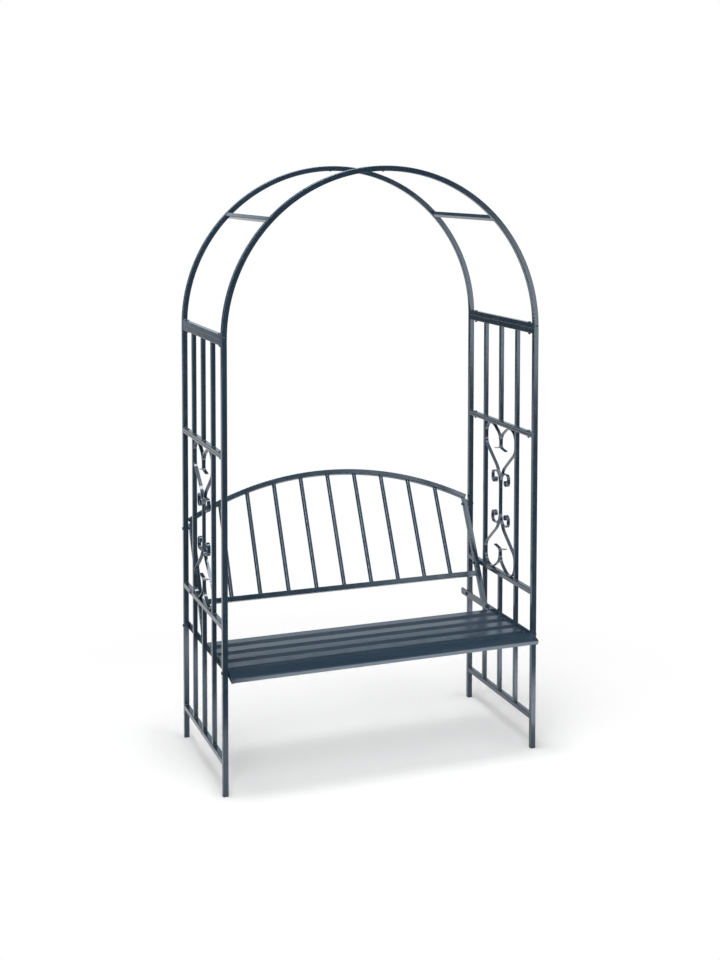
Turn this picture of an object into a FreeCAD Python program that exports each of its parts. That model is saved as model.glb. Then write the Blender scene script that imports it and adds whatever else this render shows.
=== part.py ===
import FreeCAD, Part
import math
import os

import Sketcher

# A garden arbour seat: two trellis side frames of square steel tube carry a round arch,
# and a slatted bench with a leaning spindle backrest is bolted between them.
# The origin is on the ground, midway between the four posts. X runs to the right of
# someone looking at the bench, Y runs to the back and Z runs up. Sizes are millimetres.

document = FreeCAD.newDocument("arbour_seat")
sheet = document.addObject("Spreadsheet::Sheet", "sizes")

DRIVING_SIZES = [
    # side frames
    ("frame_spacing", 1110, "between the middles of the left and the right side frame"),
    ("frame_depth", 558, "between the middles of a front post and a rear post"),
    ("frame_joint", 1116, "height of the joint between the lower and the upper side frame"),
    ("frame_top", 1492, "height of the joint between the side frame and the arch"),
    ("post_side", 18, "side of the square tube of posts, rails and arch"),
    ("bar_side", 15, "side of the square tube of the trellis bars"),
    ("bar_inset", 143, "from the middle of a post to the middle of the next trellis bar"),
    ("tube_wall", 1.2, "wall of every tube"),
    ("tube_corner", 2, "outer corner radius of every tube"),
    ("low_rail_height", 112, "height of the middle of the rail near the ground"),
    ("middle_rail_height", 558, "height of the middle of the rail above the seat"),
    ("joint_rail_height", 9, "height of each of the two flat rails at the frame joint"),
    # arch
    ("crossbar_angle", 44, "degrees round the arch from the frame to a crossbar"),
    ("crossbar_side", 16, "side of the square tube of the arch crossbars"),
    # joint pieces
    ("spigot_clearance", 0.3, "gap all round between a spigot and the tube over it"),
    ("spigot_reach", 45, "length of a spigot on each side of its joint"),
    ("arch_spigot_rise", 16, "length of a spigot inside the curved leg of the arch"),
    ("plug_flange", 4, "height of the foot plug below the tube"),
    ("plug_reach", 16, "height of the foot plug inside the tube"),
    ("plug_rounding", 1.5, "rounding of the foot plug's lower rim"),
    # fasteners
    ("bolt_diameter", 6, "shank of every bolt"),
    ("bolt_clearance", 0.3, "gap all round between a shank and its hole"),
    ("bolt_head_diameter", 12, "dome head of a bolt"),
    ("bolt_head_height", 3.6, "height of the dome head"),
    ("bolt_end", 2, "length of shank that stands out of the nut"),
    ("nut_width", 10, "nut across its flats"),
    ("nut_height", 5, "height of a nut"),
    ("frame_bolt_inset", 47, "from the middle of a post to the bolt through its rail"),
    ("screw_diameter", 4, "shank of the arch screws"),
    ("screw_head_diameter", 8, "pan head of the arch screws"),
    ("screw_head_height", 2.2, "height of the pan head"),
    ("screw_length", 7, "shank of an arch screw below its head"),
    ("arch_screw_height", 10, "from the arch joint up to its screw"),
    ("apex_screw_offset", 12, "from the top of the arch to the screw in its left half"),
    # scroll ornament
    ("strip_width", 12, "width of the flat strip of the scrolls"),
    ("strip_thickness", 3, "thickness of the flat strip of the scrolls"),
    ("curl_width", 30, "front to back size of a small curl, middle to middle of its strip"),
    ("curl_height", 42, "height of a small curl, middle to middle of its strip"),
    ("curl_rise", 11, "from the weld of a curl up to its far side"),
    ("curl_reach", 38, "from the middle of the stem to the inner side of a curl"),
    # seat
    ("seat_top", 421, "height of the upper edge of the seat's side rails"),
    ("seat_rail_height", 25, "height of the flat bar of a side rail"),
    ("seat_rail_thickness", 4, "thickness of the flat bar of a side rail"),
    ("seat_rear_reach", 53, "from the middle of a rear post back to the end of a side rail"),
    ("seat_nose_reach", 8, "from the middle of a front post forward to the bend of a side rail"),
    ("seat_nose_length", 57, "length of the bent nose of a side rail"),
    ("seat_nose_angle", 15, "degrees that the nose points down"),
    ("seat_rail_rounding", 8, "rounding of a side rail's end corners"),
    ("seat_nose_rounding", 14, "rounding of the lower corner of its nose"),
    ("slat_depth", 42, "front to back size of a flat tube slat"),
    ("slat_thickness", 15, "height of a flat tube slat"),
    ("first_slat_inset", 59, "from the foot bolt of the backrest forward to the middle of the rear slat"),
    ("last_slat_inset", 64, "from the middle of a front post back to the middle of the last level slat"),
    ("front_slat_depth", 54, "front to back size of the sloping front slat"),
    # backrest
    ("back_foot_inset", 192, "from the middle of a rear post forward to the foot bolt of the backrest"),
    ("back_tilt", 28.6, "degrees that the backrest leans back"),
    ("back_low_rail", 130, "up the slope from the foot bolt to the bottom rail"),
    ("back_corner_reach", 29, "up the slope from the post bolt to the corner of the top rail"),
    ("back_crown", 136, "up the slope from the corners of the top rail to its middle"),
    ("back_end", 11, "of an upright below its foot bolt"),
    ("flat_thickness", 2.4, "flattened foot of an upright, two walls pressed together"),
    ("flat_width", 24, "width of the flattened foot of an upright"),
    ("flat_top", 6, "up the slope from the foot bolt to the top of the flat part"),
    ("squeeze_top", 22, "up the slope from the foot bolt to where an upright is square"),
    ("spindle_diameter", 15, "round rod of a spindle"),
]

SLAT_COUNT = 4
SPINDLE_COUNT = 9

for row, (alias, value, meaning) in enumerate(DRIVING_SIZES, start=1):
    sheet.set(f"A{row}", meaning)
    sheet.set(f"B{row}", str(value))
    sheet.setAlias(f"B{row}", alias)
document.recompute()


def size(expression):
    """The present value of an alias or of an expression of aliases."""
    return float(sheet.evalExpression(expression))


# helpers for bodies made from sketches

checked_cuts = []

# Edges are picked by where they are, to within this distance.
SAME_PLACE = 0.01


def new_sketch(body, name, plane_role):
    """A sketch on one of the body's own origin planes."""
    sketch = body.newObject("Sketcher::SketchObject", name)
    plane = next(item for item in body.Origin.OriginFeatures if item.Role == plane_role)
    sketch.AttachmentSupport = [(plane, "")]
    sketch.MapMode = "FlatFace"
    return sketch


def add_rectangle(sketch, width, height, centre_x="0", centre_y="0"):
    """A rectangle whose sizes and middle are bound to expressions."""
    half_width = size(width) / 2
    half_height = size(height) / 2
    middle_x = size(centre_x)
    middle_y = size(centre_y)
    left = middle_x - half_width
    right = middle_x + half_width
    low = middle_y - half_height
    high = middle_y + half_height
    corners = [(left, low), (right, low), (right, high), (left, high)]
    first = sketch.GeometryCount
    for number in range(4):
        start = FreeCAD.Vector(*corners[number], 0)
        end = FreeCAD.Vector(*corners[(number + 1) % 4], 0)
        sketch.addGeometry(Part.LineSegment(start, end), False)
    for number in range(4):
        following = first + (number + 1) % 4
        sketch.addConstraint(Sketcher.Constraint("Coincident", first + number, 2, following, 1))
    for number in (0, 2):
        sketch.addConstraint(Sketcher.Constraint("Horizontal", first + number))
        sketch.addConstraint(Sketcher.Constraint("Vertical", first + number + 1))
    bound = [
        (Sketcher.Constraint("DistanceX", first, 1, first, 2, 2 * half_width), width),
        (Sketcher.Constraint("DistanceY", first + 1, 1, first + 1, 2, 2 * half_height), height),
    ]
    if centre_x == "0" and centre_y == "0":
        sketch.addConstraint(Sketcher.Constraint("Symmetric", first, 1, first + 2, 1, -1, 1))
    else:
        low_corner_x = f"({centre_x}) - ({width}) / 2"
        low_corner_y = f"({centre_y}) - ({height}) / 2"
        bound.append((Sketcher.Constraint("DistanceX", -1, 1, first, 1, left), low_corner_x))
        bound.append((Sketcher.Constraint("DistanceY", -1, 1, first, 1, low), low_corner_y))
    for constraint, expression in bound:
        index = sketch.addConstraint(constraint)
        sketch.setExpression(f"Constraints[{index}]", expression)


def add_circle(sketch, diameter, centre_x, centre_y):
    """A circle whose diameter and middle are bound to expressions."""
    middle = FreeCAD.Vector(size(centre_x), size(centre_y), 0)
    circle = sketch.addGeometry(Part.Circle(middle, FreeCAD.Vector(0, 0, 1), size(diameter) / 2), False)
    bound = [(Sketcher.Constraint("Diameter", circle, size(diameter)), diameter)]
    if centre_x == "0":
        sketch.addConstraint(Sketcher.Constraint("PointOnObject", circle, 3, -2))
    else:
        bound.append((Sketcher.Constraint("DistanceX", -1, 1, circle, 3, middle.x), centre_x))
    if centre_y == "0":
        sketch.addConstraint(Sketcher.Constraint("PointOnObject", circle, 3, -1))
    else:
        bound.append((Sketcher.Constraint("DistanceY", -1, 1, circle, 3, middle.y), centre_y))
    for constraint, expression in bound:
        index = sketch.addConstraint(constraint)
        sketch.setExpression(f"Constraints[{index}]", expression)


def round_long_edges(body, radius, is_outer_corner):
    """Rounds the long edges of the body's tip that pass the given test."""
    document.recompute()
    tip = body.Tip
    names = []
    for number, edge in enumerate(tip.Shape.Edges, start=1):
        if is_outer_corner(edge):
            names.append(f"Edge{number}")
    fillet = body.newObject("PartDesign::Fillet", "rounded_corners")
    fillet.Base = (tip, names)
    fillet.setExpression("Radius", radius)


def drill(body, name, plane_role, diameter, centres, depth, one_side=None):
    """Cuts round holes from an origin plane: both ways, or one way where one_side is given."""
    sketch = new_sketch(body, name + "_sketch", plane_role)
    for centre_x, centre_y in centres:
        add_circle(sketch, diameter, centre_x, centre_y)
    pocket = body.newObject("PartDesign::Pocket", name)
    pocket.Profile = sketch
    pocket.setExpression("Length", depth)
    if one_side is None:
        pocket.SideType = "Symmetric"
    else:
        pocket.Reversed = one_side
    checked_cuts.append(pocket)
    return pocket


def straight_tube(label, width, depth, length, symmetric=True):
    """A tube with rounded corners, along Z, about the origin or standing on it."""
    body = document.addObject("PartDesign::Body", label)
    body.Label = label
    section = new_sketch(body, "section", "XY_Plane")
    add_rectangle(section, width, depth)
    add_rectangle(section, f"{width} - 2 * sizes.tube_wall", f"{depth} - 2 * sizes.tube_wall")
    pad = body.newObject("PartDesign::Pad", "tube")
    pad.Profile = section
    pad.setExpression("Length", length)
    if symmetric:
        pad.SideType = "Symmetric"
    outer_x = size(width) / 2
    outer_y = size(depth) / 2

    def is_outer_corner(edge):
        middle = edge.CenterOfMass
        at_side = abs(abs(middle.x) - outer_x) < SAME_PLACE and abs(abs(middle.y) - outer_y) < SAME_PLACE
        return at_side and abs(edge.Vertexes[0].Z - edge.Vertexes[-1].Z) > 1

    round_long_edges(body, "sizes.tube_corner", is_outer_corner)
    return body


def curved_tube(label, side, radius, sweep, upward):
    """A square tube bent to a round arc about the Y axis, starting on the X axis."""
    body = document.addObject("PartDesign::Body", label)
    body.Label = label
    section = new_sketch(body, "section", "XY_Plane")
    add_rectangle(section, side, side, radius, "0")
    inner_side = f"{side} - 2 * sizes.tube_wall"
    add_rectangle(section, inner_side, inner_side, radius, "0")
    bend = body.newObject("PartDesign::Revolution", "bend")
    bend.Profile = section
    bend.ReferenceAxis = (section, ["V_Axis"])
    bend.setExpression("Angle", sweep)
    bend.Reversed = upward
    half_side = size(side) / 2
    outer_radii = (size(radius) - half_side, size(radius) + half_side)

    def is_outer_corner(edge):
        if not isinstance(edge.Curve, Part.Circle):
            return False
        at_side = abs(abs(edge.Curve.Center.y) - half_side) < SAME_PLACE
        return at_side and min(abs(edge.Curve.Radius - outer) for outer in outer_radii) < SAME_PLACE

    round_long_edges(body, "sizes.tube_corner", is_outer_corner)
    return body


def place(piece, x, y, z, turn=FreeCAD.Rotation()):
    """Puts a piece at a place given by three expressions, with a fixed turn."""
    piece.Placement = FreeCAD.Placement(FreeCAD.Vector(size(x), size(y), size(z)), turn)
    piece.setExpression("Placement.Base.x", x)
    piece.setExpression("Placement.Base.y", y)
    piece.setExpression("Placement.Base.z", z)


def solids_at(label, shape, placements):
    """One named group of like solids, each a copy of the shape at its own placement."""
    copies = []
    for placement in placements:
        copy = shape.copy()
        copy.Placement = placement
        copies.append(copy)
    group = document.addObject("Part::Feature", label)
    group.Label = label
    group.Shape = Part.makeCompound(copies)
    return group


X_AXIS = FreeCAD.Vector(1, 0, 0)
Y_AXIS = FreeCAD.Vector(0, 1, 0)
Z_AXIS = FreeCAD.Vector(0, 0, 1)
ALONG_Y = FreeCAD.Rotation(X_AXIS, -90)
ALONG_X = FreeCAD.Rotation(Y_AXIS, 90)
HALF_TURN = FreeCAD.Rotation(Z_AXIS, 180)

nodes = []

HALF_SPACING = "sizes.frame_spacing / 2"
HALF_DEPTH = "sizes.frame_depth / 2"
HOLE = "sizes.bolt_diameter + 2 * sizes.bolt_clearance"
SEAT_BOLT_HEIGHT = "(sizes.seat_top - sizes.seat_rail_height / 2)"
BACK_SLOPE = "tan(sizes.back_tilt * 1deg)"
BACK_FOOT = f"({HALF_DEPTH} - sizes.back_foot_inset)"
BAR_PITCH = f"({HALF_DEPTH} - sizes.bar_inset)"
BACK_POST_BOLT_HEIGHT = f"({SEAT_BOLT_HEIGHT} + sizes.back_foot_inset / {BACK_SLOPE})"
BACK_RAIL_BOLT_Y = f"({BACK_FOOT} + (sizes.middle_rail_height - {SEAT_BOLT_HEIGHT}) * {BACK_SLOPE})"
RAIL_LENGTH = "sizes.frame_depth - sizes.post_side"
FRAME_BOLT_Y = "(sizes.frame_depth / 2 - sizes.frame_bolt_inset)"

sides = [("left", f"-({HALF_SPACING})", -1), ("right", HALF_SPACING, 1)]
ends = [("front", f"-({HALF_DEPTH})", -1), ("rear", HALF_DEPTH, 1)]

# Posts. A lower post stands on its foot plug and takes the bolt of the seat rail;
# a rear one takes the backrest's bolt as well. An upper post carries the arch.

for side_name, side_x, side_sign in sides:
    for end_name, end_y, end_sign in ends:
        lower_post = straight_tube(f"{side_name}_lower_{end_name}_post", "sizes.post_side", "sizes.post_side",
                                   "sizes.frame_joint - sizes.plug_flange", symmetric=False)
        bolt_heights = [SEAT_BOLT_HEIGHT]
        if end_name == "rear":
            bolt_heights.append(BACK_POST_BOLT_HEIGHT)
        centres = [("0", f"{height} - sizes.plug_flange") for height in bolt_heights]
        drill(lower_post, "bolt_holes", "YZ_Plane", HOLE, centres, "2 * sizes.post_side")
        place(lower_post, side_x, end_y, "sizes.plug_flange")
        nodes.append(lower_post)

        upper_post = straight_tube(f"{side_name}_upper_{end_name}_post", "sizes.post_side", "sizes.post_side",
                                   "sizes.frame_top - sizes.frame_joint", symmetric=False)
        place(upper_post, side_x, end_y, "sizes.frame_joint")
        nodes.append(upper_post)

# Rails. Each side frame has five rails between its posts, and the arch a sixth. The two
# flat rails at the frame joint, and the two tubes under the arch, lie on each other.

rail_kinds = [
    ("low_rail", "sizes.post_side", "sizes.low_rail_height", "none"),
    ("middle_rail", "sizes.post_side", "sizes.middle_rail_height", "across"),
    ("lower_joint_rail", "sizes.joint_rail_height",
     "sizes.frame_joint - sizes.joint_rail_height / 2", "upright"),
    ("upper_joint_rail", "sizes.joint_rail_height",
     "sizes.frame_joint + sizes.joint_rail_height / 2", "upright"),
    ("top_rail", "sizes.post_side", "sizes.frame_top - sizes.post_side / 2", "upright"),
    ("arch_base_rail", "sizes.post_side", "sizes.frame_top + sizes.post_side / 2", "upright"),
]
for side_name, side_x, side_sign in sides:
    for kind, height, middle_height, bolts in rail_kinds:
        rail = straight_tube(f"{side_name}_{kind}", "sizes.post_side", height, RAIL_LENGTH)
        if bolts == "upright":
            bolt_places = [("0", FRAME_BOLT_Y), ("0", f"-{FRAME_BOLT_Y}")]
            drill(rail, "bolt_holes", "XZ_Plane", HOLE, bolt_places, "2 * sizes.post_side")
        elif bolts == "across":
            drill(rail, "bolt_hole", "YZ_Plane", HOLE, [("0", BACK_RAIL_BOLT_Y)], "2 * sizes.post_side")
        place(rail, side_x, "0", middle_height, ALONG_Y)
        nodes.append(rail)

# Trellis bars. Three bars fill the lowest and the highest panel of a frame, and two stand
# either side of the scrolls in the middle one. Each is cut to stand between two rails.

LOW_RAIL_TOP = "(sizes.low_rail_height + sizes.post_side / 2)"
MIDDLE_RAIL_UNDERSIDE = "(sizes.middle_rail_height - sizes.post_side / 2)"
MIDDLE_RAIL_TOP = "(sizes.middle_rail_height + sizes.post_side / 2)"
JOINT_RAIL_UNDERSIDE = "(sizes.frame_joint - sizes.joint_rail_height)"
JOINT_RAIL_TOP = "(sizes.frame_joint + sizes.joint_rail_height)"
TOP_RAIL_UNDERSIDE = "(sizes.frame_top - sizes.post_side)"

bar_panels = [
    ("lower_bars", LOW_RAIL_TOP, MIDDLE_RAIL_UNDERSIDE, (-1, 0, 1)),
    ("middle_bars", MIDDLE_RAIL_TOP, JOINT_RAIL_UNDERSIDE, (-1, 1)),
    ("upper_bars", JOINT_RAIL_TOP, TOP_RAIL_UNDERSIDE, (-1, 0, 1)),
]
for panel_name, low_end, high_end, bar_steps in bar_panels:
    bar = straight_tube(f"{panel_name}_pattern", "sizes.bar_side", "sizes.bar_side",
                        f"{high_end} - {low_end}", symmetric=False)
    document.recompute()
    for side_name, side_x, side_sign in sides:
        places = []
        for step in bar_steps:
            foot = FreeCAD.Vector(size(side_x), step * size(BAR_PITCH), size(low_end))
            places.append(FreeCAD.Placement(foot, FreeCAD.Rotation()))
        nodes.append(solids_at(f"{side_name}_{panel_name}", bar.Shape, places))

# Scrolls. Two mirrored strips of flat steel fill the middle panel: each starts in a small
# flared foot at the stem, rises to the rail, falls along the bar and runs in to the waist,
# and the lower half repeats it upside down. Four small curls sit beside the waist.


# Two bends on one run take at most this share of its length.
RUN_SHARE = 0.98


def beside(point, direction, distance):
    """The point moved square to a direction in the scroll's plane."""
    return FreeCAD.Vector(0, point.y - direction.z * distance, point.z + direction.y * distance)


def bend_reaches(points, bends):
    """How far each bend reaches along its runs, shortened where two bends would meet."""
    runs = [end - start for start, end in zip(points, points[1:])]
    reaches = [0]
    for number in range(1, len(points) - 1):
        turn = runs[number - 1].getAngle(runs[number])
        reaches.append(bends[number] * math.tan(turn / 2))
    reaches.append(0)
    shares = [min(1, RUN_SHARE * run.Length / (reaches[number] + reaches[number + 1]))
              for number, run in enumerate(runs)]
    for number in range(1, len(points) - 1):
        reaches[number] *= min(shares[number - 1], shares[number])
    return reaches


def bent_strip(corners, mirror_y, mirror_z):
    """A flat strip about the plane x = 0, bent to a radius at each (y, z, bend) corner."""
    thickness = size("sizes.strip_thickness")
    width = size("sizes.strip_width")
    points = [FreeCAD.Vector(0, mirror_y * across, mirror_z * up) for across, up, bend in corners]
    reaches = bend_reaches(points, [bend for across, up, bend in corners])
    directions = [(end - start).normalize() for start, end in zip(points, points[1:])]
    outline_edges = []
    for face_offset in (thickness / 2, -thickness / 2):
        cursor = beside(points[0], directions[0], face_offset)
        for number in range(1, len(points) - 1):
            into = directions[number - 1]
            out = directions[number]
            turn = into.getAngle(out)
            turns_left = 1 if into.y * out.z - into.z * out.y > 0 else -1
            bend = reaches[number] / math.tan(turn / 2)
            centre = beside(points[number] - into * reaches[number], into, turns_left * bend)
            towards_corner = (points[number] - centre).normalize()
            arc_start = beside(points[number] - into * reaches[number], into, face_offset)
            arc_middle = centre + towards_corner * (bend - turns_left * face_offset)
            arc_end = beside(points[number] + out * reaches[number], out, face_offset)
            outline_edges.append(Part.LineSegment(cursor, arc_start).toShape())
            outline_edges.append(Part.Arc(arc_start, arc_middle, arc_end).toShape())
            cursor = arc_end
        last = beside(points[-1], directions[-1], face_offset)
        outline_edges.append(Part.LineSegment(cursor, last).toShape())
    for point, direction in ((points[0], directions[0]), (points[-1], directions[-1])):
        near_corner = beside(point, direction, thickness / 2)
        far_corner = beside(point, direction, -thickness / 2)
        outline_edges.append(Part.LineSegment(near_corner, far_corner).toShape())
    outline = Part.Wire(Part.__sortEdges__(outline_edges))
    outline.translate(FreeCAD.Vector(-width / 2, 0, 0))
    return Part.Face(outline).extrude(FreeCAD.Vector(width, 0, 0))


strip_thickness = size("sizes.strip_thickness")
panel_low = size(MIDDLE_RAIL_TOP)
panel_high = size(JOINT_RAIL_UNDERSIDE)
panel_middle = (panel_low + panel_high) / 2
half_height = (panel_high - panel_low) / 2
half_width = size(f"{BAR_PITCH} - sizes.bar_side / 2")
at_rail = half_height - strip_thickness / 2
at_bar = half_width - strip_thickness / 2
at_stem = strip_thickness / 2

# Each corner is its place across and up and its bend, as shares of the half panel.
upper_half = [
    (0.35 * half_width, 0.67 * half_height, 0),
    (at_stem, 0.695 * half_height, 0.10 * half_width),
    (at_stem, 0.86 * half_height, 0.36 * half_width),
    (0.46 * half_width, at_rail, 0.47 * half_width),
    (at_bar, at_rail, 0.33 * half_width),
    (at_bar, 0.70 * half_height, 0.30 * half_width),
    (0.198 * half_width, 0.416 * half_height, 0.64 * half_width),
    (at_stem, 0.253 * half_height, 0.64 * half_width),
]
scroll_corners = upper_half + [(across, -up, bend) for across, up, bend in reversed(upper_half)]
for side_name, side_x, side_sign in sides:
    for end_name, end_y, end_sign in ends:
        scroll = document.addObject("Part::Feature", f"{side_name}_{end_name}_scroll")
        scroll.Label = f"{side_name}_{end_name}_scroll"
        scroll.Shape = bent_strip(scroll_corners, end_sign, 1)
        middle = FreeCAD.Vector(size(side_x), 0, panel_middle)
        scroll.Placement = FreeCAD.Placement(middle, FreeCAD.Rotation())
        nodes.append(scroll)

# Above the waist the scroll runs straight for a moment. A curl is welded flat to its under
# face there, runs out, down and back, and ends in a small hook inside itself.
waist_across, waist_up, waist_bend = upper_half[-1]
flare_across, flare_up, flare_bend = upper_half[-2]
flare = FreeCAD.Vector(0, flare_across - waist_across, flare_up - waist_up)
flare_angle = flare.getAngle(Z_AXIS)
flare.normalize()
run_start = FreeCAD.Vector(0, waist_across, waist_up) + flare * (waist_bend * math.tan(flare_angle / 2))
curl_weld = beside(run_start, flare, -strip_thickness)
curl_rise = size("sizes.curl_rise")
curl_width = size("sizes.curl_width")
curl_far = curl_weld.z + curl_rise
curl_near = curl_far - size("sizes.curl_height")
curl_inner = size("sizes.curl_reach")
curl_outer = curl_inner + curl_width
curl_bend = curl_width / 2
HOOK_RISE_SHARE = 0.40
HOOK_REACH_SHARE = 0.33
hook_up = curl_near + HOOK_RISE_SHARE * size("sizes.curl_height")
curl_corners = [
    (curl_weld.y, curl_weld.z, 0),
    (curl_weld.y + curl_rise * math.tan(flare_angle), curl_far, 0.65 * curl_bend),
    (curl_outer, curl_far, curl_bend),
    (curl_outer, curl_near, curl_bend),
    (curl_inner, curl_near, 0.62 * curl_bend),
    (curl_inner, hook_up, 0.30 * curl_bend),
    (curl_inner + HOOK_REACH_SHARE * curl_width, hook_up, 0),
]
for side_name, side_x, side_sign in sides:
    curls = [bent_strip(curl_corners, across_sign, up_sign) for across_sign in (-1, 1) for up_sign in (-1, 1)]
    group = document.addObject("Part::Feature", f"{side_name}_scroll_curls")
    group.Label = f"{side_name}_scroll_curls"
    group.Shape = Part.makeCompound(curls)
    group.Placement = FreeCAD.Placement(FreeCAD.Vector(size(side_x), 0, panel_middle), FreeCAD.Rotation())
    nodes.append(group)

# Arch. Four quarter arcs, two to each hoop, stand on the upper posts and meet at the top.
# A screw holds each leg on its spigot, and one below the top holds the sleeve. The left
# arcs are the right ones turned half way round, so their screws are cut on the other side.

ARCH_RADIUS = HALF_SPACING
SCREW_HOLE = "sizes.screw_diameter"
for side_name, side_x, side_sign in sides:
    for end_name, end_y, end_sign in ends:
        arc = curved_tube(f"{side_name}_{end_name}_arc", "sizes.post_side", ARCH_RADIUS, "90", True)
        hole_faces_front = end_sign * side_sign < 0
        drill(arc, "leg_screw_hole", "XZ_Plane", SCREW_HOLE, [(ARCH_RADIUS, "sizes.arch_screw_height")],
              "sizes.post_side", one_side=hole_faces_front)
        if side_name == "left":
            drill(arc, "apex_screw_hole", "XY_Plane", SCREW_HOLE, [("sizes.apex_screw_offset", "0")],
                  ARCH_RADIUS, one_side=True)
        place(arc, "0", end_y, "sizes.frame_top", HALF_TURN if side_name == "left" else FreeCAD.Rotation())
        nodes.append(arc)

# Arch crossbars, welded between the two hoops and turned square to them.

for side_name, side_x, side_sign in sides:
    crossbar = straight_tube(f"{side_name}_arch_crossbar", "sizes.crossbar_side", "sizes.crossbar_side",
                             RAIL_LENGTH)
    angle = size("sizes.crossbar_angle")
    across = f"{side_sign} * {HALF_SPACING} * cos(sizes.crossbar_angle * 1deg)"
    up = f"sizes.frame_top + {HALF_SPACING} * sin(sizes.crossbar_angle * 1deg)"
    turn = FreeCAD.Rotation(Y_AXIS, -side_sign * angle) * ALONG_Y
    place(crossbar, across, "0", up, turn)
    nodes.append(crossbar)

# Spigots: square tubes that slide inside the posts at each joint, and short curved
# sleeves inside the top of each hoop. Each is smaller than its tube by the clearance.

SPIGOT_SIDE = "(sizes.post_side - 2 * sizes.tube_wall - 2 * sizes.spigot_clearance)"
post_corners = []
for side_name, side_x, side_sign in sides:
    for end_name, end_y, end_sign in ends:
        post_corners.append((size(side_x), size(end_y), side_sign, end_sign))

post_spigot = straight_tube("post_spigot_pattern", SPIGOT_SIDE, SPIGOT_SIDE, "2 * sizes.spigot_reach")
arch_spigot = straight_tube("arch_spigot_pattern", SPIGOT_SIDE, SPIGOT_SIDE,
                            "sizes.spigot_reach + sizes.arch_spigot_rise", symmetric=False)
drill(arch_spigot, "screw_hole", "XZ_Plane", SCREW_HOLE,
      [("0", "sizes.spigot_reach + sizes.arch_screw_height")],
      "sizes.post_side", one_side=False)
apex_sleeve = curved_tube("apex_sleeve_pattern", SPIGOT_SIDE, ARCH_RADIUS,
                          "2 * sizes.spigot_reach / (sizes.frame_spacing / 2) * 180 / pi", True)
document.recompute()

frame_joint = size("sizes.frame_joint")
frame_top = size("sizes.frame_top")
spigot_reach = size("sizes.spigot_reach")
joint_places = []
arch_places = []
for corner_x, corner_y, side_sign, end_sign in post_corners:
    corner = FreeCAD.Vector(corner_x, corner_y, frame_joint)
    joint_places.append(FreeCAD.Placement(corner, FreeCAD.Rotation()))
    facing = FreeCAD.Rotation() if end_sign > 0 else HALF_TURN
    foot = FreeCAD.Vector(corner_x, corner_y, frame_top - spigot_reach)
    arch_places.append(FreeCAD.Placement(foot, facing))
nodes.append(solids_at("post_spigots", post_spigot.Shape, joint_places))
nodes.append(solids_at("arch_spigots", arch_spigot.Shape, arch_places))

arch_radius = size(ARCH_RADIUS)
sleeve_half_angle = math.degrees(spigot_reach / arch_radius)
sleeve_turn = FreeCAD.Rotation(Y_AXIS, -(90 - sleeve_half_angle))
sleeve_places = []
screw_radius = size("sizes.screw_diameter") / 2
apex_screw_x = -size("sizes.apex_screw_offset")
for end_name, end_y, end_sign in ends:
    centre = FreeCAD.Vector(0, size(end_y), frame_top)
    sleeve_places.append(FreeCAD.Placement(centre, sleeve_turn))
sleeves = solids_at("apex_sleeves", apex_sleeve.Shape, sleeve_places)
screw_bores = []
for end_name, end_y, end_sign in ends:
    bore_foot = FreeCAD.Vector(apex_screw_x, size(end_y), frame_top)
    screw_bores.append(Part.makeCylinder(screw_radius, arch_radius, bore_foot, Z_AXIS))
sleeves.Shape = sleeves.Shape.cut(Part.makeCompound(screw_bores))
nodes.append(sleeves)

# Foot plugs: a square cap under each post with a block that grips inside the tube.

foot_plug = document.addObject("PartDesign::Body", "foot_plug_pattern")
flange_sketch = new_sketch(foot_plug, "flange_outline", "XY_Plane")
add_rectangle(flange_sketch, "sizes.post_side", "sizes.post_side")
flange = foot_plug.newObject("PartDesign::Pad", "flange")
flange.Profile = flange_sketch
flange.setExpression("Length", "sizes.plug_flange")
block_sketch = new_sketch(foot_plug, "block_outline", "XY_Plane")
add_rectangle(block_sketch, SPIGOT_SIDE, SPIGOT_SIDE)
block = foot_plug.newObject("PartDesign::Pad", "block")
block.Profile = block_sketch
block.setExpression("Length", "sizes.plug_flange + sizes.plug_reach")


def is_flange_rim(edge):
    """True for the upright corners and the lower rim of the flange."""
    middle = edge.CenterOfMass
    half_side = size("sizes.post_side") / 2
    at_side = max(abs(middle.x), abs(middle.y)) > half_side - SAME_PLACE
    return at_side and middle.z < size("sizes.plug_flange") - SAME_PLACE


round_long_edges(foot_plug, "sizes.plug_rounding", is_flange_rim)
document.recompute()
plug_places = []
for corner_x, corner_y, side_sign, end_sign in post_corners:
    plug_places.append(FreeCAD.Placement(FreeCAD.Vector(corner_x, corner_y, 0), FreeCAD.Rotation()))
nodes.append(solids_at("foot_plugs", foot_plug.Shape, plug_places))

# Seat. Two side rails of flat bar lie against the posts, with a nose bent down at the
# front; four flat tube slats and a deeper sloping one at the front are welded between.

SEAT_RAIL_INNER = "(sizes.frame_spacing / 2 - sizes.post_side / 2 - sizes.seat_rail_thickness)"
SEAT_REAR = f"({HALF_DEPTH} + sizes.seat_rear_reach)"
SEAT_BEND = f"({HALF_DEPTH} + sizes.seat_nose_reach)"
SLAT_LENGTH = f"2 * {SEAT_RAIL_INNER}"
FIRST_SLAT = f"({BACK_FOOT} - sizes.first_slat_inset)"
SLAT_PITCH = f"(({FIRST_SLAT} + {HALF_DEPTH} - sizes.last_slat_inset) / {SLAT_COUNT - 1})"

# The nose is rounded by no more than this share of the flat bar's height.
NOSE_ROUNDING_LIMIT = 0.56
NOSE_ROUNDING = f"min(sizes.seat_nose_rounding; {NOSE_ROUNDING_LIMIT} * sizes.seat_rail_height)"


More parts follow.
